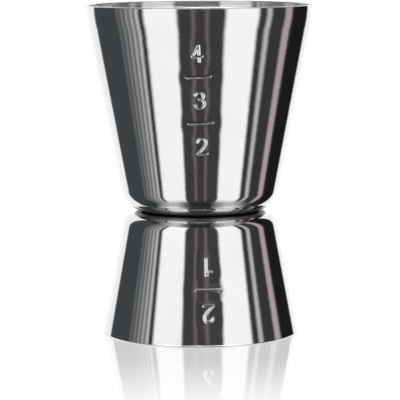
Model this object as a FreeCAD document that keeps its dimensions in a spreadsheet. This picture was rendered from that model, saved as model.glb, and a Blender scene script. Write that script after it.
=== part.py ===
import FreeCAD, Part
import Sketcher
import math
import os
from FreeCAD import Placement, Rotation, Vector

# Double-ended bar jigger: two deep-drawn stainless steel cups joined base to base by spot welds.
#
# Frame: millimetres, +Z up, origin at the centre of the small cup's rim, which stands on the
# table at z = 0. The large cup opens upwards. The stamped volume marks face -Y.
#
# Each cup is drawn in its own frame, upright, with z = 0 at the outside of its flat base. It is
# one sheet of even gauge: flat base, rounded base corner, conical wall, and a lip where the wall
# curves back to vertical. The sheet is pressed inwards at each mark, so every stroke is a groove
# outside and a low bead inside.

CELLS = [
    ("gauge", 0.6, "sheet thickness of both cups"),
    ("base_radius", 14.65, "where the line of the wall meets the plane of the base"),
    ("rim_round", 0.25, "polished rounding on both edges of each rim"),
    ("large_height", 40.06, "large cup, base to rim"),
    ("large_slope", 11.3, "large cup, wall from the vertical, degrees"),
    ("large_corner", 4.87, "large cup, outside radius of the base corner"),
    ("large_lip", 22.0, "large cup, radius that brings the wall back to vertical"),
    ("large_mark", 14.1, "large cup, height of the centre of the lowest mark"),
    ("large_lean", 2.9, "large cup, lean of the column of marks, degrees"),
    ("large_turn", 0.0, "large cup, turn of the marks about the axis, degrees"),
    ("small_height", 23.94, "small cup, base to rim"),
    ("small_slope", 11.0, "small cup, wall from the vertical, degrees"),
    ("small_corner", 3.2, "small cup, outside radius of the base corner"),
    ("small_lip", 2.0, "small cup, radius that brings the wall back to vertical"),
    ("small_mark", 9.1, "small cup, height of the centre of the lowest mark"),
    ("small_lean", 0.0, "small cup, lean of the column of marks, degrees"),
    ("small_turn", -4.9, "small cup, turn of the marks about the axis, degrees"),
    ("mark_pitch", 4.37, "height from one mark to the next"),
    ("digit_height", 3.0, "digit, height of its stroke's centreline"),
    ("line_length", 4.55, "measuring line, length of its centreline"),
    ("stroke_width", 0.5, "width of every stroke"),
    ("groove_depth", 0.22, "how far a stroke is pressed into the outside"),
    ("bead_height", 0.18, "how far a stroke stands out on the inside"),
    ("weld_count", 3, "spot welds between the bases"),
    ("weld_circle", 6.5, "radius of the circle that the welds lie on"),
    ("weld_radius", 1.5, "radius of a weld nugget"),
    ("weld_height", 0.5, "height of a weld nugget, half of it in each base"),
    ("dimple_radius", 2.2, "radius of the electrode's dent inside each base"),
    ("dimple_depth", 0.08, "depth of the electrode's dent"),
]

# Strokes of the marks: two points are a straight stroke and three are an arc through them.
# Units of the mark's size, with x from its middle and y from its foot.
LINE = "line"
STROKES = {
    LINE: [[[(-0.5, 0.5), (0.5, 0.5)]]],
    "1": [
        [[(0.1, 0.0), (0.1, 1.0)]],
        [[(0.1, 1.0), (-0.04, 0.84), (-0.2, 0.78)]],
    ],
    "2": [
        [
            [(-0.27, 0.76), (0.0, 1.0), (0.27, 0.74)],
            [(0.27, 0.74), (0.23, 0.57), (0.12, 0.42)],
            [(0.12, 0.42), (-0.28, 0.0)],
            [(-0.28, 0.0), (0.29, 0.0)],
        ],
    ],
    "3": [
        [
            [(-0.28, 0.82), (0.0, 1.0), (0.27, 0.77)],
            [(0.27, 0.77), (0.19, 0.61), (0.0, 0.55)],
        ],
        [
            [(0.0, 0.55), (0.23, 0.46), (0.31, 0.27)],
            [(0.31, 0.27), (0.0, 0.0), (-0.3, 0.2)],
        ],
    ],
    "4": [
        [[(0.12, 0.0), (0.12, 1.0)]],
        [[(0.12, 1.0), (-0.3, 0.32)], [(-0.3, 0.32), (0.3, 0.32)]],
    ],
}


def make_sheet(doc):
    """The spreadsheet of driving dimensions."""
    sheet = doc.addObject("Spreadsheet::Sheet", "Sizes")
    for row, (alias, value, note) in enumerate(CELLS, start=1):
        sheet.set(f"A{row}", note)
        sheet.set(f"B{row}", str(value))
        sheet.setAlias(f"B{row}", alias)
    doc.recompute()
    return sheet


def origin_feature(body, role):
    """One of the body's own origin planes or axes."""
    return next(item for item in body.Origin.OriginFeatures if item.Role == role)


def new_sketch(body, name, role):
    """An empty sketch on one of the body's own origin planes."""
    sketch = body.newObject("Sketcher::SketchObject", name)
    sketch.AttachmentSupport = [(origin_feature(body, role), "")]
    sketch.MapMode = "FlatFace"
    return sketch


def bind(sketch, kind, references, start, name, expression):
    """A dimension of a sketch, driven by the spreadsheet."""
    index = sketch.addConstraint(Sketcher.Constraint(kind, *references, start))
    sketch.renameConstraint(index, name)
    sketch.setExpression(f"Constraints.{name}", expression)


def draw_profile(sketch, sheet, cup):
    """Outside of one cup as a closed half section: x is the radius and y the height."""
    height = sheet.get(f"{cup}_height")
    slope = math.radians(sheet.get(f"{cup}_slope"))
    corner = sheet.get(f"{cup}_corner")
    lip = sheet.get(f"{cup}_lip")
    foot = sheet.get("base_radius")

    flat = foot - corner * math.tan(math.pi / 4 - slope / 2)
    rim = foot + height * math.tan(slope) - lip * (1 / math.cos(slope) - 1)
    up = Vector(0, 0, 1)
    corner_circle = Part.Circle(Vector(flat, corner, 0), up, corner)
    lip_circle = Part.Circle(Vector(rim - lip, height, 0), up, lip)
    corner_arc = Part.ArcOfCircle(corner_circle, -math.pi / 2, -slope)
    lip_arc = Part.ArcOfCircle(lip_circle, -slope, 0)
    rim_point = Vector(rim, height, 0)
    centre_top = Vector(0, height, 0)

    base = sketch.addGeometry(Part.LineSegment(Vector(0, 0, 0), corner_arc.StartPoint))
    bend = sketch.addGeometry(corner_arc)
    wall = sketch.addGeometry(Part.LineSegment(corner_arc.EndPoint, lip_arc.StartPoint))
    curl = sketch.addGeometry(lip_arc)
    top = sketch.addGeometry(Part.LineSegment(rim_point, centre_top))
    axis = sketch.addGeometry(Part.LineSegment(centre_top, Vector(0, 0, 0)))
    sharp = sketch.addGeometry(Part.Point(Vector(foot, 0, 0)), True)

    start, end, centre = 1, 2, 3
    horizontal_axis = -1
    for constraint in (
        Sketcher.Constraint("Coincident", base, start, horizontal_axis, start),
        Sketcher.Constraint("Tangent", base, end, bend, start),
        Sketcher.Constraint("Tangent", bend, end, wall, start),
        Sketcher.Constraint("Tangent", wall, end, curl, start),
        Sketcher.Constraint("Coincident", curl, end, top, start),
        Sketcher.Constraint("Coincident", top, end, axis, start),
        Sketcher.Constraint("Coincident", axis, end, base, start),
        Sketcher.Constraint("Horizontal", base),
        Sketcher.Constraint("Horizontal", top),
        Sketcher.Constraint("Vertical", axis),
        Sketcher.Constraint("Horizontal", curl, centre, curl, end),
        Sketcher.Constraint("PointOnObject", sharp, start, horizontal_axis),
        Sketcher.Constraint("PointOnObject", sharp, start, wall),
    ):
        sketch.addConstraint(constraint)
    bind(sketch, "DistanceX", (horizontal_axis, start, sharp, start), foot, "foot", "Sizes.base_radius")
    bind(sketch, "DistanceY", (axis, end, axis, start), height, "height", f"Sizes.{cup}_height")
    bind(sketch, "Radius", (bend,), corner, "corner", f"Sizes.{cup}_corner")
    bind(sketch, "Radius", (curl,), lip, "lip", f"Sizes.{cup}_lip")
    bind(sketch, "Angle", (wall,), math.pi / 2 - slope, "lean", f"(90 - Sizes.{cup}_slope) * 1 deg")


def names_at_height(elements, prefix, height):
    """Names of the faces or edges that lie wholly at one height."""
    names = []
    tolerance = 1e-4
    for index, element in enumerate(elements, start=1):
        box = element.BoundBox
        if abs(box.ZMin - height) < tolerance and abs(box.ZMax - height) < tolerance:
            names.append(f"{prefix}{index}")
    return names


def round_pocket(body, sheet, name, radius, depth, height, upwards):
    """A ring of round pockets at the welds. The first is on the +Y axis, so that the ring
    stays the same when the small cup is turned over about Y."""
    sketch = new_sketch(body, f"{name}_sketch", "XY_Plane")
    sketch.setExpression("AttachmentOffset.Base.z", height)
    start_radius = sheet.get(radius)
    start_offset = sheet.get("weld_circle")
    circle = Part.Circle(Vector(0, start_offset, 0), Vector(0, 0, 1), start_radius)
    outline = sketch.addGeometry(circle)
    origin, vertical_axis = -1, -2
    start, centre = 1, 3
    sketch.addConstraint(Sketcher.Constraint("PointOnObject", outline, centre, vertical_axis))
    ends = (origin, start, outline, centre)
    bind(sketch, "DistanceY", ends, start_offset, "offset", "Sizes.weld_circle")
    bind(sketch, "Radius", (outline,), start_radius, "radius", f"Sizes.{radius}")
    pocket = body.newObject("PartDesign::Pocket", f"{name}_pocket")
    pocket.Profile = (sketch, [""])
    pocket.setExpression("Length", depth)
    pocket.Reversed = upwards
    ring = body.newObject("PartDesign::PolarPattern", f"{name}_ring")
    ring.Originals = [pocket]
    ring.Axis = (origin_feature(body, "Z_Axis"), [""])
    ring.Angle = 360
    ring.setExpression("Occurrences", "Sizes.weld_count")
    body.Tip = ring
    body.Document.recompute()


def make_shell(doc, sheet, cup):
    """The plain cup: outside turned, hollowed to the gauge, rim rounded, bases pocketed."""
    body = doc.addObject("PartDesign::Body", f"{cup}_shell")
    profile = new_sketch(body, f"{cup}_profile", "XZ_Plane")
    draw_profile(profile, sheet, cup)
    outside = body.newObject("PartDesign::Revolution", f"{cup}_outside")
    outside.Profile = (profile, [""])
    outside.ReferenceAxis = (profile, ["V_Axis"])
    outside.Angle = 360
    doc.recompute()

    height = sheet.get(f"{cup}_height")
    hollow = body.newObject("PartDesign::Thickness", f"{cup}_hollow")
    hollow.Base = (outside, names_at_height(outside.Shape.Faces, "Face", height))
    hollow.Reversed = True
    hollow.setExpression("Value", "Sizes.gauge")
    doc.recompute()

    rim = body.newObject("PartDesign::Fillet", f"{cup}_rim")
    rim.Base = (hollow, names_at_height(hollow.Shape.Edges, "Edge", height))
    rim.setExpression("Radius", "Sizes.rim_round")
    doc.recompute()

    half_weld = "Sizes.weld_height / 2"
    round_pocket(body, sheet, f"{cup}_weld", "weld_radius", half_weld, "0", True)
    dent = "Sizes.dimple_depth"
    round_pocket(body, sheet, f"{cup}_dimple", "dimple_radius", dent, "Sizes.gauge", False)
    return body


def straight_outline(start, end, half_width):
    """Outline of a straight stroke with round ends."""
    along = (end - start).normalize() * half_width
    side = along.cross(Vector(0, 1, 0))
    return Part.Wire([
        Part.makeLine(start + side, end + side),
        Part.Arc(end + side, end + along, end - side).toShape(),
        Part.makeLine(end - side, start - side),
        Part.Arc(start - side, start - along, start + side).toShape(),
    ])


def stroke_outline(stroke, size, half_width):
    """Outline that a round pen leaves along one stroke, about the mark's own centre."""
    pieces = [[Vector(x * size, 0, (y - 0.5) * size) for x, y in piece] for piece in stroke]
    if len(pieces) == 1 and len(pieces[0]) == 2:
        return straight_outline(*pieces[0], half_width)
    edges = []
    for points in pieces:
        curve = Part.LineSegment(*points) if len(points) == 2 else Part.Arc(*points)
        edges.append(curve.toShape())
    return Part.Wire(edges).makeOffset2D(half_width)


def make_stamp(doc, sheet, cup, marks):
    """The stamp's strokes as prisms that run from the axis out through the front of the wall."""
    reach = 2 * sheet.get("base_radius")
    half_width = sheet.get("stroke_width") / 2
    pitch = sheet.get("mark_pitch")
    prisms = []
    for place, mark in enumerate(marks):
        size = sheet.get("line_length" if mark == LINE else "digit_height")
        height = (place - (len(marks) - 1) / 2) * pitch
        for stroke in STROKES[mark]:
            face = Part.Face(stroke_outline(stroke, size, half_width))
            face.translate(Vector(0, 0, height))
            prisms.append(face.extrude(Vector(0, -reach, 0)))
    stamp = doc.addObject("Part::Feature", f"{cup}_stamp")
    stamp.Shape = prisms[0].multiFuse(prisms[1:])
    middle = sheet.get(f"{cup}_mark") + (len(marks) - 1) / 2 * pitch
    lean = Rotation(Vector(0, -1, 0), sheet.get(f"{cup}_lean"))
    turn = Rotation(Vector(0, 0, 1), sheet.get(f"{cup}_turn"))
    stamp.Placement = Placement(Vector(0, 0, middle), turn * lean)
    return stamp


def wall_cone(doc, cup, name, depth):
    """A solid cone whose side lies at the given depth under the outside of the wall."""
    cone = doc.addObject("Part::Cone", f"{cup}_{name}")
    slope = f"Sizes.{cup}_slope * 1 deg"
    cone.setExpression("Height", f"Sizes.{cup}_height")
    cone.setExpression("Radius1", f"Sizes.base_radius - ({depth}) / cos({slope})")
    cone.setExpression(
        "Radius2",
        f"Sizes.base_radius - ({depth}) / cos({slope}) + Sizes.{cup}_height * tan({slope})",
    )
    return cone


def boolean(doc, kind, name, base, tool):
    """A Part::Cut, Part::Common or Part::Fuse of two objects."""
    result = doc.addObject(kind, name)
    result.Base = base
    result.Tool = tool
    return result


def make_cup(doc, sheet, cup, marks, placement):
    """One finished cup: the shell, less its grooves, plus the beads behind them."""
    shell = make_shell(doc, sheet, cup)
    stamp = make_stamp(doc, sheet, cup, marks)
    groove_floor = wall_cone(doc, cup, "groove_floor", "Sizes.groove_depth")
    middle_wall = wall_cone(doc, cup, "middle_wall", "Sizes.gauge / 2")
    bead_crest = wall_cone(doc, cup, "bead_crest", "Sizes.gauge + Sizes.bead_height")
    grooves = boolean(doc, "Part::Cut", f"{cup}_grooves", stamp, groove_floor)
    grooved = boolean(doc, "Part::Cut", f"{cup}_grooved", shell, grooves)
    inner = boolean(doc, "Part::Common", f"{cup}_inner", stamp, middle_wall)
    beads = boolean(doc, "Part::Cut", f"{cup}_beads", inner, bead_crest)
    finished = boolean(doc, "Part::Fuse", f"{cup}_cup", grooved, beads)
    finished.Label = f"{cup}_cup"
    finished.Placement = placement
    return finished


def make_welds(doc, sheet):
    """The weld nuggets, centred on the plane where the two bases meet."""
    nuggets = []
    count = int(sheet.get("weld_count"))
    for place in range(count):
        angle = f"{90 + place * 360 / count} deg"
        nugget = doc.addObject("Part::Cylinder", f"nugget_{place + 1}")
        nugget.setExpression("Radius", "Sizes.weld_radius")
        nugget.setExpression("Height", "Sizes.weld_height")
        nugget.setExpression("Placement.Base.x", f"Sizes.weld_circle * cos({angle})")
        nugget.setExpression("Placement.Base.y", f"Sizes.weld_circle * sin({angle})")
        nugget.setExpression("Placement.Base.z", "-Sizes.weld_height / 2")
        nuggets.append(nugget)
    welds = doc.addObject("Part::Compound", "spot_welds")
    welds.Links = nuggets
    welds.Label = "spot_welds"
    welds.Placement = Placement(Vector(0, 0, sheet.get("small_height")), Rotation())
    return welds


def check(doc, pieces):
    """Stop if any object failed, or if a piece is not the sound solids that it should be."""
    for item in doc.Objects:
        if "Invalid" in item.State or "Error" in item.State:
            raise RuntimeError(f"{item.Name} failed: {item.State}")
    for piece in pieces:
        if piece.Shape.isNull() or not piece.Shape.isValid():
            raise RuntimeError(f"{piece.Label} has no valid shape")
        box = piece.Shape.optimalBoundingBox(False)
        print(
            f"{piece.Label}: {len(piece.Shape.Solids)} solids, {piece.Shape.Volume:.1f} mm3,",
            f"z {box.ZMin:.2f} to {box.ZMax:.2f}, width {box.XLength:.2f}",
        )


def main():
    doc = FreeCAD.newDocument("bar_jigger")
    sheet = make_sheet(doc)
    waist = Vector(0, 0, sheet.get("small_height"))
    upside_down = Rotation(Vector(0, 1, 0), 180)
    large_marks = ["2", LINE, "3", LINE, "4"]
    small_marks = ["1", LINE, "2"]
    large_cup = make_cup(doc, sheet, "large", large_marks, Placement(waist, Rotation()))
    small_cup = make_cup(doc, sheet, "small", small_marks, Placement(waist, upside_down))
    spot_welds = make_welds(doc, sheet)
    doc.recompute()

    pieces = [large_cup, small_cup, spot_welds]
    check(doc, pieces)
    os.makedirs("parts", exist_ok=True)
    for piece in pieces:
        piece.Shape.exportStep(f"parts/{piece.Label}.step")


main()
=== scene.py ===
import math

import bpy
import numpy as np
from mathutils import Euler, Matrix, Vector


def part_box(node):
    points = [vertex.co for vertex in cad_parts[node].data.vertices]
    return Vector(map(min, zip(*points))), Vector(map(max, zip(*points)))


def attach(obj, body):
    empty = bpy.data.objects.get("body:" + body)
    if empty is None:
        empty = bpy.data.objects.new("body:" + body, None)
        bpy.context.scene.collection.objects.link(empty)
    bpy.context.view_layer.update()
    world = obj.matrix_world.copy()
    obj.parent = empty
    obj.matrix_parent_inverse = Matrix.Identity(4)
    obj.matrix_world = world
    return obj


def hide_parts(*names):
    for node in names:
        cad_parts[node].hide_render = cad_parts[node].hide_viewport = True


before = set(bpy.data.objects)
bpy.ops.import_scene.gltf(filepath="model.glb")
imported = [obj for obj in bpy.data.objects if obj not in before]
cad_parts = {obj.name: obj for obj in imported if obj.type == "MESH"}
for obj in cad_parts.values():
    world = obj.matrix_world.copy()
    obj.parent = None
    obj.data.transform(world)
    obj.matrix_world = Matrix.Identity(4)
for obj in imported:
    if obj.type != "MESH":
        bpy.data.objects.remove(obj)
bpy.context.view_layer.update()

# Looks of a double-ended bar jigger in mirror-polished stainless steel.
#
# The frame is the CAD part's: metres, +Z up, the small cup's rim on the table at z = 0, the large
# cup open upwards, and the stamped volume marks facing -Y. Each CAD cup is replaced by a finer
# mesh of the same sheet, whose marks are pressed in with soft edges, as a stamp leaves them.

MM = 0.001


# ---------------------------------------------------------------- dimensions of the two cups

class Cup:
    """One cup as drawn from sheet, upright in its own frame: z = 0 at the outside of its base."""

    gauge = 0.6 * MM
    foot = 14.65 * MM            # where the line of the wall meets the plane of the base
    rim_round = 0.25 * MM

    def __init__(self, node, slope, corner, lip, first_mark, marks, lean, turn, dish, inverted):
        low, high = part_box(node)
        self.node = node
        self.height = high.z - low.z
        self.base_at = high.z if inverted else low.z
        self.inverted = inverted
        self.slope = math.radians(slope)
        self.corner = corner * MM
        self.lip = lip * MM
        self.first_mark = first_mark * MM
        self.marks = marks
        self.lean = math.radians(lean)
        self.turn = math.radians(turn)
        self.dish = dish * MM
        self.flat = self.foot - self.corner * math.tan(math.pi / 4 - self.slope / 2)
        straight = self.foot + self.height * math.tan(self.slope)
        self.rim = straight - self.lip * (1 / math.cos(self.slope) - 1)


# Angles in degrees and lengths in millimetres. The dish is how deep the sheet sinks round a mark.
LARGE = Cup("large_cup", slope=11.3, corner=4.87, lip=22.0, first_mark=14.1, marks="2-3-4",
            lean=2.9, turn=0.0, dish=0.03, inverted=False)
SMALL = Cup("small_cup", slope=11.0, corner=3.2, lip=2.0, first_mark=9.1, marks="1-2",
            lean=0.0, turn=-4.9, dish=0.04, inverted=True)

MARK_PITCH = 4.37 * MM
DIGIT_HEIGHT = 3.0 * MM
LINE_LENGTH = 4.55 * MM
STROKE_WIDTH = 0.5 * MM
STROKE_SPREAD = 0.06 * MM    # how far the pulled-down edge reaches beyond a stroke
STROKE_EDGE = STROKE_WIDTH / 2 + STROKE_SPREAD   # from the middle of a stroke to smooth sheet
OUTSIDE_STAMP = (0.115 * MM, 0.28 * MM)          # depth of a stroke and width of its sloping wall
INSIDE_STAMP = (0.08 * MM, 0.30 * MM)
DISH_REACH = 1.5 * MM

# Strokes of the marks: two points are a straight stroke and three are an arc through them.
# Units of the mark's size, with x from its middle and y from its foot.
STROKES = {
    "-": [[(-0.5, 0.5), (0.5, 0.5)]],
    "1": [
        [(0.1, 0.0), (0.1, 1.0)],
        [(0.1, 1.0), (-0.04, 0.84), (-0.2, 0.78)],
    ],
    "2": [
        [(-0.27, 0.76), (0.0, 1.0), (0.27, 0.74)],
        [(0.27, 0.74), (0.23, 0.57), (0.12, 0.42)],
        [(0.12, 0.42), (-0.28, 0.0)],
        [(-0.28, 0.0), (0.29, 0.0)],
    ],
    "3": [
        [(-0.28, 0.82), (0.0, 1.0), (0.27, 0.77)],
        [(0.27, 0.77), (0.19, 0.61), (0.0, 0.55)],
        [(0.0, 0.55), (0.23, 0.46), (0.31, 0.27)],
        [(0.31, 0.27), (0.0, 0.0), (-0.3, 0.2)],
    ],
    "4": [
        [(0.12, 0.0), (0.12, 1.0)],
        [(0.12, 1.0), (-0.3, 0.32)],
        [(-0.3, 0.32), (0.3, 0.32)],
    ],
}


# ---------------------------------------------------------------- stamped marks

def distance_to_segment(x, y, a, b):
    """Distance from points (x, y) to the straight stroke from a to b."""
    dx, dy = b[0] - a[0], b[1] - a[1]
    along = np.clip(((x - a[0]) * dx + (y - a[1]) * dy) / (dx * dx + dy * dy), 0, 1)
    return np.hypot(x - a[0] - along * dx, y - a[1] - along * dy)


def circle_through(a, b, c):
    """Centre and radius of the circle through three points."""
    ax, ay, bx, by = a[0] - c[0], a[1] - c[1], b[0] - c[0], b[1] - c[1]
    double_area = 2 * (ax * by - ay * bx)
    a_squared, b_squared = ax * ax + ay * ay, bx * bx + by * by
    ux = (by * a_squared - ay * b_squared) / double_area
    uy = (ax * b_squared - bx * a_squared) / double_area
    return (c[0] + ux, c[1] + uy), math.hypot(ux, uy)


def distance_to_arc(x, y, a, b, c):
    """Distance from points (x, y) to the arc from a through b to c."""
    centre, radius = circle_through(a, b, c)

    def bearing(px, py):
        return np.arctan2(py - centre[1], px - centre[0])

    full = 2 * math.pi
    start = bearing(*a)
    sweep = (bearing(*c) - start) % full
    if (bearing(*b) - start) % full > sweep:
        start, sweep = bearing(*c), full - sweep
    on_arc = (bearing(x, y) - start) % full <= sweep
    to_circle = np.abs(np.hypot(x - centre[0], y - centre[1]) - radius)
    to_ends = np.minimum(np.hypot(x - a[0], y - a[1]), np.hypot(x - c[0], y - c[1]))
    return np.where(on_arc, to_circle, to_ends)


def distance_to_marks(cup, x, z):
    """Distance from front-view points (x, z) to the nearest stroke of the cup's marks."""
    middle = cup.first_mark + (len(cup.marks) - 1) / 2 * MARK_PITCH
    up = z - middle
    column_x = x * math.cos(cup.lean) + up * math.sin(cup.lean)
    column_z = up * math.cos(cup.lean) - x * math.sin(cup.lean)
    nearest = np.full(x.shape, np.inf)
    for place, mark in enumerate(cup.marks):
        size = LINE_LENGTH if mark == "-" else DIGIT_HEIGHT
        centre = (place - (len(cup.marks) - 1) / 2) * MARK_PITCH
        for stroke in STROKES[mark]:
            points = [(px * size, centre + (py - 0.5) * size) for px, py in stroke]
            measure = distance_to_segment if len(points) == 2 else distance_to_arc
            nearest = np.minimum(nearest, measure(column_x, column_z, *points))
    return nearest


def smooth(t):
    """Smooth step from 0 at t = 0 to 1 at t = 1."""
    t = np.clip(t, 0, 1)
    return t * t * (3 - 2 * t)


def pressed_depth(distance, depth, wall, dish):
    """How far the sheet is pushed in: a stroke with soft, sloping walls in a wide, shallow dish."""
    stroke = depth * (1 - smooth((distance - STROKE_EDGE + wall) / wall))
    return stroke + dish * np.exp(-((distance / DISH_REACH) ** 2))


# ---------------------------------------------------------------- cup meshes

OUTSIDE_ROW = 0.105 * MM     # height of the mesh's rows at the marks
INSIDE_ROW = 0.25 * MM
PLAIN_ROW = 0.8 * MM         # and away from them
LIP_ROW = 0.35 * MM
MARK_MARGIN = 2.5 * MM       # how far the close rows reach beyond the marks
SATIN_START = 0.04 * MM      # a stroke's wall is satin from here, but its very middle shines
SATIN_FADE = 0.06 * MM

def arc_points(centre_r, centre_z, radius, start, end, count):
    """Points of an arc of the half section, without its first point."""
    angles = np.linspace(start, end, count + 1)[1:]
    return [(centre_r + radius * math.cos(t), centre_z + radius * math.sin(t)) for t in angles]


def line_points(start, end, shares):
    """Points of a straight run of the half section, at these shares of its length."""
    return [(start[0] + (end[0] - start[0]) * t, start[1] + (end[1] - start[1]) * t) for t in shares]


def wall_shares(cup, bottom, top, fine):
    """Shares of the wall's height, without 0: close together at the marks and wide elsewhere."""
    low = cup.first_mark - MARK_MARGIN
    high = cup.first_mark + (len(cup.marks) - 1) * MARK_PITCH + MARK_MARGIN
    heights = np.concatenate([
        np.arange(bottom + PLAIN_ROW, low, PLAIN_ROW), np.arange(low, high, fine),
        np.arange(high, top - PLAIN_ROW / 2, PLAIN_ROW), [top],
    ])
    return (heights - bottom) / (top - bottom)


def half_section(cup):
    """The sheet's outline from the middle of the base's outside, over the rim, to the middle of
    the floor: radius, height, which side a mark presses there (1 outside, -1 inside, 0 elsewhere),
    and the number of the first point of the rim's rounded edge."""
    slope, gauge, round_r = cup.slope, cup.gauge, cup.rim_round
    lip_r, lip_z = cup.rim - cup.lip, cup.height
    inner_corner = cup.corner - gauge
    inner_lip = cup.lip - gauge
    tip_tilt = math.asin(round_r / cup.lip)
    wall_foot = (
        cup.flat + cup.corner * math.cos(slope),
        cup.corner * (1 - math.sin(slope)),
    )
    wall_top = (lip_r + cup.lip * math.cos(slope), lip_z - cup.lip * math.sin(slope))
    inner_top = (lip_r + inner_lip * math.cos(slope), lip_z - inner_lip * math.sin(slope))
    inner_foot = (
        cup.flat + inner_corner * math.cos(slope),
        cup.corner - inner_corner * math.sin(slope),
    )
    wall_rows = wall_shares(cup, wall_foot[1], wall_top[1], OUTSIDE_ROW)
    inner_rows = wall_shares(cup, inner_foot[1], inner_top[1], INSIDE_ROW)
    lip_rows = max(8, int(cup.lip * slope / LIP_ROW))

    outside = [(0.0, 0.0), (cup.flat * 0.5, 0.0), (cup.flat, 0.0)]
    outside += arc_points(cup.flat, cup.corner, cup.corner, -math.pi / 2, -slope, 30)
    wall_start = len(outside)
    outside += line_points(wall_foot, wall_top, wall_rows)
    wall_end = len(outside)
    outside += arc_points(lip_r, lip_z, cup.lip, -slope, -tip_tilt, lip_rows)
    top = arc_points(cup.rim - round_r, lip_z - round_r, round_r, 0, math.pi / 2, 8)
    bore = cup.rim - gauge
    top += [(bore + round_r, lip_z)]
    top += arc_points(bore + round_r, lip_z - round_r, round_r, math.pi / 2, math.pi, 8)
    inside = arc_points(lip_r, lip_z, inner_lip, -tip_tilt, -slope, lip_rows)
    inner_start = len(outside) + len(top) + len(inside)
    inside += line_points(inner_foot, inner_top, np.append(inner_rows[-2::-1], 0.0))
    inner_end = len(outside) + len(top) + len(inside)
    inside += arc_points(cup.flat, cup.corner, inner_corner, -slope, -math.pi / 2, 24)
    inside += line_points((cup.flat, gauge), (0.0, gauge), np.linspace(0, 1, 25)[1:])
    outline = np.array(outside + top + inside)
    pressed = np.zeros(len(outline))
    pressed[wall_start - 1:wall_end] = 1
    pressed[inner_start - 1:inner_end] = -1
    return outline[:, 0], outline[:, 1], pressed, len(outside)


def column_angles(cup):
    """Angles of the mesh's columns from the front: close together at the marks, then wider."""
    fine, coarse, growth = math.radians(0.30), math.radians(3.2), 1.15
    reach = math.radians(11.5)
    half = [fine / 2]
    step = fine
    while half[-1] + step < math.pi:
        if half[-1] > reach:
            step = min(step * growth, coarse)
        half.append(half[-1] + step)
    half = np.array(half) * (math.pi - coarse / 2) / half[-1]
    return np.concatenate([-half[::-1], half])


def weld_dents(x, y):
    """Shallow round dents that the welding electrodes leave in the floor."""
    depth, radius, circle = 0.08 * MM, 2.2 * MM, 6.5 * MM
    total = np.zeros_like(x)
    for place in range(3):
        angle = math.radians(90 + 120 * place)
        distance = np.hypot(x - circle * math.cos(angle), y - circle * math.sin(angle))
        total += depth * (1 - smooth((distance - radius * 0.8) / (radius * 0.4)))
    return total


def cup_surface(cup):
    """Grid of points (rows along the section, columns around), their normals, how much of a
    stroke's satin wall each is, and the first row of the rim's rounded edge."""
    radius, height, pressed, rim_row = half_section(cup)
    angle = column_angles(cup)
    tangent_r, tangent_z = np.gradient(radius), np.gradient(height)
    length = np.hypot(tangent_r, tangent_z)
    normal_r, normal_z = tangent_z / length, -tangent_r / length

    r = np.broadcast_to(radius[:, None], (len(radius), len(angle))).copy()
    z = np.broadcast_to(height[:, None], r.shape).copy()
    theta = np.broadcast_to(angle[None, :], r.shape)
    front = np.cos(theta) > 0.5
    x = r * np.sin(theta - cup.turn)
    distance = distance_to_marks(cup, x, z)
    outer = pressed_depth(distance, *OUTSIDE_STAMP, cup.dish)
    inner = pressed_depth(distance, *INSIDE_STAMP, cup.dish)
    press = pressed[:, None]
    push = np.where(front & (press > 0), outer, 0) - np.where(front & (press < 0), inner, 0)
    r -= push * normal_r[:, None]
    z -= push * normal_z[:, None]

    px, py = r * np.sin(theta), -r * np.cos(theta)
    floor_rows = (radius < cup.flat) & (height > 0)
    dents = weld_dents(px, py)
    z = np.where(floor_rows[:, None], z - dents, z)

    points = np.stack([px, py, z], axis=-1)
    closed = np.concatenate([points[:, -1:], points, points[:, :1]], axis=1)
    around = closed[:, 2:] - closed[:, :-2]
    along = np.gradient(points, axis=0)
    normals = np.cross(around, along)
    size = np.linalg.norm(normals, axis=-1, keepdims=True)
    normals = normals / np.maximum(size, 1e-15)
    stamped = smooth((STROKE_EDGE - distance) / SATIN_FADE)
    stamped = stamped * smooth((distance - SATIN_START) / SATIN_FADE)
    stamped = np.where(front & (press > 0), stamped, 0)
    return points, normals, stamped, rim_row


def place_cup(cup, points, normals):
    """From the cup's own frame to the jigger's."""
    if cup.inverted:
        points = points * np.array([-1, 1, -1])
        normals = normals * np.array([-1, 1, -1])
    return points + np.array([0, 0, cup.base_at]), normals


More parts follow.
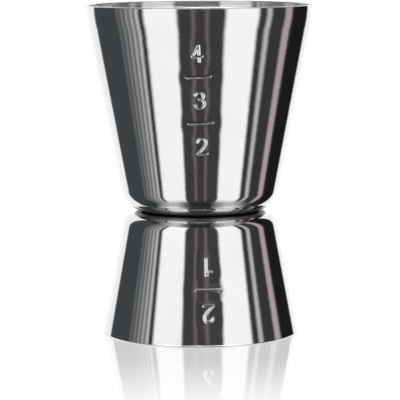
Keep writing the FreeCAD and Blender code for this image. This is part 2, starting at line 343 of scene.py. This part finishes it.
def build_cup(cup, name, outer_steel, inner_steel):
    """One cup as a closed mesh with its own normals, in one steel outside and in the other from
    the rim's edge inwards."""
    points, normals, stamped, rim_row = cup_surface(cup)
    points, normals = place_cup(cup, points, normals)
    rows, columns = points.shape[:2]
    ring = np.arange(columns)
    following = (ring + 1) % columns

    inner_points, inner_normals = points[1:-1], normals[1:-1]
    flat_rows = rows - 2
    index = np.arange(flat_rows * columns).reshape(flat_rows, columns)
    first_pole, last_pole = flat_rows * columns, flat_rows * columns + 1
    vertices = np.concatenate([
        inner_points.reshape(-1, 3), points[:1, :1].reshape(1, 3), points[-1:, :1].reshape(1, 3),
    ])
    down = np.array([[0.0, 0.0, 1.0 if cup.inverted else -1.0]])
    vertex_normals = np.concatenate([inner_normals.reshape(-1, 3), down, -down])
    a, b = index[:-1, ring], index[:-1, following]
    c, d = index[1:, following], index[1:, ring]
    quads = np.stack([a, b, c, d], axis=-1).reshape(-1, 4).tolist()
    first_fan = [(first_pole, index[0, k], index[0, j]) for j, k in zip(ring, following)]
    last_fan = [(last_pole, index[-1, j], index[-1, k]) for j, k in zip(ring, following)]
    faces = quads + [tuple(int(v) for v in fan) for fan in first_fan + last_fan]
    mesh = bpy.data.meshes.new(name)
    mesh.from_pydata(vertices.tolist(), [], faces)
    mesh.polygons.foreach_set("use_smooth", [True] * len(mesh.polygons))
    mesh.normals_split_custom_set_from_vertices(vertex_normals.tolist())
    mesh.materials.append(outer_steel)
    mesh.materials.append(inner_steel)
    is_inner = np.zeros(len(faces), dtype=int)
    is_inner[(rim_row - 1) * columns:len(quads)] = 1
    is_inner[-columns:] = 1
    mesh.polygons.foreach_set("material_index", is_inner.tolist())
    walls = np.concatenate([stamped[1:-1].ravel(), [0, 0]])
    mesh.attributes.new("stamped", "FLOAT", "POINT").data.foreach_set("value", walls.tolist())
    mesh.validate()
    piece = bpy.data.objects.new(name, mesh)
    bpy.context.scene.collection.objects.link(piece)
    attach(piece, "root")
    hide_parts(cup.node)
    return piece


# ---------------------------------------------------------------- materials

SIDEWAYS_TILT = 0.012
SMOOTHEST = 0.035            # roughness of the polish, from its smoothest to its roughest
ROUGHEST = 0.085
STAMPED_ROUGHNESS = 0.22
# Painted shade: the steel's colour is darkened in a band round the crease where the cups meet, and the
# steel is made rougher there.
SEAM_SHADE_AT = LARGE.base_at + 0.6 * MM   # middle of the band of painted shade in the crease between the cups
SEAM_SHADE_HALF = 0.5 * MM
SEAM_SHADE_FADE = 0.2 * MM
SEAM_SHADE_TONE = 0.35
SEAM_SHADE_ROUGHNESS = 0.4


class Nodes:
    """A short way to write the node tree of a material or a world."""

    def __init__(self, owner):
        owner.use_nodes = True
        self.tree = owner.node_tree
        self.tree.nodes.clear()

    def add(self, kind, inputs=None, **settings):
        node = self.tree.nodes.new(kind)
        for name, value in settings.items():
            setattr(node, name, value)
        for name, value in (inputs or {}).items():
            if isinstance(value, bpy.types.NodeSocket):
                self.tree.links.new(value, node.inputs[name])
            else:
                node.inputs[name].default_value = value
        return node

    def math(self, operation, *values):
        return self.add("ShaderNodeMath", dict(enumerate(values)), operation=operation).outputs[0]

    def mix(self, share, first, second, **settings):
        inputs = {"Fac": share, "Color1": first, "Color2": second}
        return self.add("ShaderNodeMixRGB", inputs, **settings).outputs[0]

    def ramp(self, value, stops, interpolation="LINEAR"):
        """A ColorRamp: stops are (position, colour)."""
        node = self.add("ShaderNodeValToRGB", {"Fac": value})
        elements = node.color_ramp.elements
        node.color_ramp.interpolation = interpolation
        while len(elements) > 1:
            elements.remove(elements[-1])
        elements[0].position, elements[0].color = stops[0][0], (*stops[0][1], 1)
        for position, colour in stops[1:]:
            elements.new(position).color = (*colour, 1)
        return node.outputs["Color"]


def grey(level):
    """A colour of equal red, green and blue."""
    return (level, level, level, 1.0)


def cup_steel(name, haze):
    """Stainless steel, polished round and round: long fine lines tilt it up and down, and shorter
    ones sideways. The haze is the share of the light that it scatters instead of mirroring."""
    material = bpy.data.materials.new(name)
    n = Nodes(material)
    place = n.add("ShaderNodeTexCoord").outputs["Object"]
    x, y, z = n.add("ShaderNodeSeparateXYZ", {"Vector": place}).outputs
    radius = n.math("SQRT", n.math("ADD", n.math("MULTIPLY", x, x), n.math("MULTIPLY", y, y)))
    east, north = n.math("DIVIDE", x, radius), n.math("DIVIDE", y, radius)

    def drawn_out(around, along):
        vector = n.add("ShaderNodeCombineXYZ", {
            0: n.math("MULTIPLY", east, around),
            1: n.math("MULTIPLY", north, around),
            2: n.math("MULTIPLY", z, along),
        }).outputs[0]
        inputs = {"Vector": vector, "Scale": 1.0, "Detail": 3.0, "Roughness": 0.6}
        return n.add("ShaderNodeTexNoise", inputs).outputs["Fac"]

    lines = drawn_out(1.6, 2600.0)
    bump = n.add("ShaderNodeBump", {"Height": lines, "Strength": 0.25, "Distance": 0.00002})
    sideways = n.math("MULTIPLY", n.math("SUBTRACT", drawn_out(4.0, 1900.0), 0.5), SIDEWAYS_TILT)
    tilt = n.add("ShaderNodeCombineXYZ", {
        0: n.math("MULTIPLY", north, n.math("MULTIPLY", sideways, -1.0)),
        1: n.math("MULTIPLY", east, sideways),
    }).outputs[0]
    tilted = n.add("ShaderNodeVectorMath", {0: bump.outputs["Normal"], 1: tilt}, operation="ADD")
    normal = n.add("ShaderNodeVectorMath", {0: tilted.outputs[0]}, operation="NORMALIZE").outputs[0]

    patches = n.add("ShaderNodeTexNoise", {
        "Vector": place, "Scale": 90.0, "Detail": 3.0, "Roughness": 0.55,
    }).outputs["Fac"]
    rough = n.add("ShaderNodeMapRange", {
        "Value": n.math("ADD", n.math("MULTIPLY", lines, 0.6), n.math("MULTIPLY", patches, 0.4)),
        "From Min": 0.3, "From Max": 0.7, "To Min": SMOOTHEST, "To Max": ROUGHEST,
    }).outputs["Result"]
    stamped = n.add("ShaderNodeAttribute", attribute_name="stamped").outputs["Fac"]
    rough = n.math("MAXIMUM", rough, n.math("MULTIPLY", stamped, STAMPED_ROUGHNESS))
    # Painted shade: a band round the crease between the cups is made rougher and darker in colour.
    seam_shade = n.add("ShaderNodeMapRange", {
        "Value": n.math("ABSOLUTE", n.math("SUBTRACT", z, SEAM_SHADE_AT)),
        "From Min": SEAM_SHADE_HALF + SEAM_SHADE_FADE,
        "From Max": SEAM_SHADE_HALF - SEAM_SHADE_FADE,
    }).outputs["Result"]
    rough = n.math("MAXIMUM", rough, n.math("MULTIPLY", seam_shade, SEAM_SHADE_ROUGHNESS))
    tone = n.ramp(patches, [(0.3, (0.61, 0.61, 0.605)), (0.7, (0.65, 0.65, 0.65))])
    # the painted shade of the crease between the cups is mixed into the steel's colour
    tone = n.mix(seam_shade, tone, grey(SEAM_SHADE_TONE))
    shader = n.add("ShaderNodeBsdfPrincipled", {
        "Base Color": tone, "Metallic": 1 - haze, "Roughness": rough, "Normal": normal,
    })
    n.add("ShaderNodeOutputMaterial", {"Surface": shader.outputs[0]})
    return material


def weld_steel():
    """Dull fused steel of the weld nuggets."""
    material = bpy.data.materials.new("weld_steel")
    n = Nodes(material)
    grain = n.add("ShaderNodeTexNoise", {"Scale": 900.0, "Detail": 4.0}).outputs["Fac"]
    tone = n.ramp(grain, [(0.35, (0.22, 0.21, 0.20)), (0.65, (0.42, 0.41, 0.40))])
    bump = n.add("ShaderNodeBump", {"Height": grain, "Strength": 0.5, "Distance": 0.0001})
    shader = n.add("ShaderNodeBsdfPrincipled", {
        "Base Color": tone, "Metallic": 1.0, "Roughness": 0.55, "Normal": bump.outputs["Normal"],
    })
    n.add("ShaderNodeOutputMaterial", {"Surface": shader.outputs[0]})
    return material


# ---------------------------------------------------------------- studio

STEEL_SHOWS = 0.63      # share of a card's light that the steel gives back
TOP_LIGHT = 1.1         # straight overhead
STRIP_LIGHT = 3.0       # low and wide in front, which only the stamped marks and the rims catch
CARD_FEET = (-50, -34)  # elevations over which the cards end, at the bottom and at the top
CARD_TOPS = (45, 50)
OVERHEAD = (76, 84)     # elevations over which the light overhead begins
TABLE_SHINE = (-84, -70)
STRIP_BOTTOM = (5, 6)   # elevations over which the strip begins and ends, and its half width
STRIP_TOP = (7.6, 6.6)
STRIP_SIDE = (55, 40)
ROOM_LEVEL = 0.2        # dark room between the cards
BACKDROP_LEVEL = 0.9
BACKDROP_WIDTH = 100
CARD_EDGE = 4           # degrees over which a card's edge fades
FAR_EDGE = 25           # the same beyond the cards' feet and tops
FAR_SHARE = 0.5         # of the cards' light that is left there
SLATS = 5               # narrow pale slats beside the left card, brighter towards it
FIRST_SLAT = -90
SLAT_PITCH = 6
SLAT_WIDTH = 3

TABLE_GLOSS = 0.4       # share of the table's mirroring, which fades between these distances
GLOSS_STARTS = 33 * MM
GLOSS_ENDS = 75 * MM

WHITE = (1.0, 1.0, 1.0)
BLUE_GREEN = (0.9, 1.0, 1.1)
BROWN = (1.1, 1.0, 1.0)
PINK = (1.2, 1.0, 1.05)

# What stands in the room: the azimuth of its middle and its width in degrees, the display level
# that the steel shows there, and its colour. Azimuth 0 is the camera's side, 90 is +X and 180 is
# behind. A later card stands before an earlier one.
CARDS = [
    (-100, 60, 0.25, BLUE_GREEN),    # curtain on the left
    (-40, 36, 0.95, WHITE),          # large card on the left
    (4, 50, 0.22, BROWN),            # the photographer's side
    (-6, 3, 0.4, BROWN),             # a leg of the camera's stand
    (8, 3, 0.4, BROWN),              # another leg
    (45, 36, 0.95, WHITE),           # large card on the right
    (75, 6, 0.7, WHITE),             # narrow card beside it
    (102, 10, 0.6, PINK),            # pink card
    (125, 30, 0.1, WHITE),           # black flag
]
CARDS += [
    (FIRST_SLAT + SLAT_PITCH * place, SLAT_WIDTH, 0.4 + 0.1 * place, WHITE) for place in range(SLATS)
]


def linear(level):
    """Linear light of a display level from 0 to 1."""
    return level / 12.92 if level <= 0.04045 else ((level + 0.055) / 1.055) ** 2.4


def card_light(n, angle, edge):
    """Light of the room and everything in it round the horizon, with edges this soft. What is
    narrower than half such an edge is lost in it."""
    start = 180 - BACKDROP_WIDTH / 2
    behind = between(n, n.math("ABSOLUTE", angle), start - edge / 2, start + edge / 2)
    light = n.mix(behind, grey(linear(ROOM_LEVEL)), grey(linear(BACKDROP_LEVEL)))
    for middle, width, level, tint in CARDS:
        if width < edge / 2:
            continue
        away = n.math("ABSOLUTE", n.math("SUBTRACT", angle, math.radians(middle)))
        inside = between(n, away, (width + edge) / 2, (width - edge) / 2)
        colour = (*(linear(level) * share for share in tint), 1.0)
        light = n.mix(inside, light, colour)
    return light


def between(n, value, low, high):
    """0 at one angle and 1 at the other, in degrees."""
    return n.add("ShaderNodeMapRange", {
        "Value": value, "From Min": math.radians(low), "From Max": math.radians(high),
    }).outputs["Result"]


def studio_world():
    """The ring of cards, and the same cards softer and dimmer beyond their feet and tops, where
    they fan out from behind the jigger. The table shines brightest straight below. The camera
    itself sees plain white."""
    world = bpy.data.worlds.new("studio")
    bpy.context.scene.world = world
    n = Nodes(world)
    direction = n.add("ShaderNodeTexCoord").outputs["Generated"]
    x, y, z = n.add("ShaderNodeSeparateXYZ", {"Vector": direction}).outputs
    azimuth = n.math("ARCTAN2", x, n.math("MULTIPLY", y, -1.0))
    elevation = n.math("ARCSINE", z)
    fan = n.math("MULTIPLY", n.math("ARCTAN2", x, n.math("SUBTRACT", 1.0, y)), 2.0)
    double = n.math("MULTIPLY", n.math("SUBTRACT", 1.0, y), 2.0)
    reach = n.math("SQRT", n.math("SUBTRACT", double, n.math("MULTIPLY", z, z)))
    rise = n.math("MULTIPLY", n.math("ARCTAN2", z, reach), 2.0)
    table_light = card_light(n, fan, FAR_EDGE)
    far = n.mix(1.0, table_light, grey(FAR_SHARE), blend_type="MULTIPLY")
    studio = n.mix(between(n, rise, *TABLE_SHINE), table_light, far)
    ring = card_light(n, azimuth, CARD_EDGE)
    studio = n.mix(between(n, elevation, *CARD_FEET), studio, ring)
    studio = n.mix(between(n, elevation, *CARD_TOPS), studio, far)
    studio = n.mix(between(n, elevation, *OVERHEAD), studio, grey(TOP_LIGHT))
    off_middle = n.math("ABSOLUTE", azimuth)
    strip = n.math("MULTIPLY", between(n, elevation, *STRIP_BOTTOM), between(n, elevation, *STRIP_TOP))
    strip = n.math("MULTIPLY", strip, between(n, off_middle, *STRIP_SIDE))
    studio = n.mix(strip, studio, grey(STRIP_LIGHT))

    seen = n.add("ShaderNodeLightPath").outputs["Is Camera Ray"]
    light = n.mix(seen, studio, grey(STEEL_SHOWS))
    background = n.add("ShaderNodeBackground", {"Color": light, "Strength": 1 / STEEL_SHOWS})
    n.add("ShaderNodeOutputWorld", {"Surface": background.outputs[0]})


def table():
    """A white, polished table that fades into the backdrop."""
    half = 2.0
    mesh = bpy.data.meshes.new("table")
    corners = [(-half, -half, 0), (half, -half, 0), (half, half, 0), (-half, half, 0)]
    mesh.from_pydata(corners, [], [(0, 1, 2, 3)])
    piece = bpy.data.objects.new("table", mesh)
    bpy.context.scene.collection.objects.link(piece)
    material = bpy.data.materials.new("white_table")
    n = Nodes(material)
    place = n.add("ShaderNodeTexCoord").outputs["Object"]
    far = n.add("ShaderNodeVectorMath", {0: place}, operation="LENGTH").outputs["Value"]
    gloss = n.add("ShaderNodeMapRange", {
        "Value": far, "From Min": GLOSS_STARTS, "From Max": GLOSS_ENDS,
        "To Min": TABLE_GLOSS, "To Max": 0.0,
    }).outputs["Result"]
    white = n.add("ShaderNodeEmission", {"Color": (1, 1, 1, 1), "Strength": 1.0})
    mirror = n.add("ShaderNodeBsdfAnisotropic", {"Color": (1, 1, 1, 1), "Roughness": 0.03})
    mixed = n.add("ShaderNodeMixShader", {0: gloss, 1: white.outputs[0], 2: mirror.outputs[0]})
    n.add("ShaderNodeOutputMaterial", {"Surface": mixed.outputs[0]})
    mesh.materials.append(material)
    piece.visible_glossy = False
    piece.visible_diffuse = False


LENS = 197.1            # millimetres
CAMERA_AWAY = 426.2 * MM
CAMERA_HEIGHT = 77.9 * MM
CAMERA_TILT = 6.978     # degrees below level
CAMERA_ROLL = -0.287


def camera():
    """A long lens, a little above the rim, tilted down at the jigger's middle."""
    data = bpy.data.cameras.new("camera")
    data.lens = LENS
    data.clip_start = 0.01
    piece = bpy.data.objects.new("camera", data)
    piece.location = (0.0, -CAMERA_AWAY, CAMERA_HEIGHT)
    tilt = Euler((math.radians(90 - CAMERA_TILT), 0, 0)).to_matrix()
    roll = Matrix.Rotation(math.radians(CAMERA_ROLL), 3, "Z")
    piece.rotation_euler = (tilt @ roll).to_euler()
    bpy.context.scene.collection.objects.link(piece)
    bpy.context.scene.camera = piece


# ---------------------------------------------------------------- the scene

polished = cup_steel("polished_steel", haze=0.0)
hazy = cup_steel("hazy_steel", haze=0.38)
build_cup(LARGE, "large_cup_shell", polished, hazy)
build_cup(SMALL, "small_cup_shell", polished, hazy)
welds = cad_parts["spot_welds"]
for slot in welds.material_slots:
    slot.material = weld_steel()
studio_world()
table()
camera()
bpy.context.scene.view_settings.view_transform = "Standard"
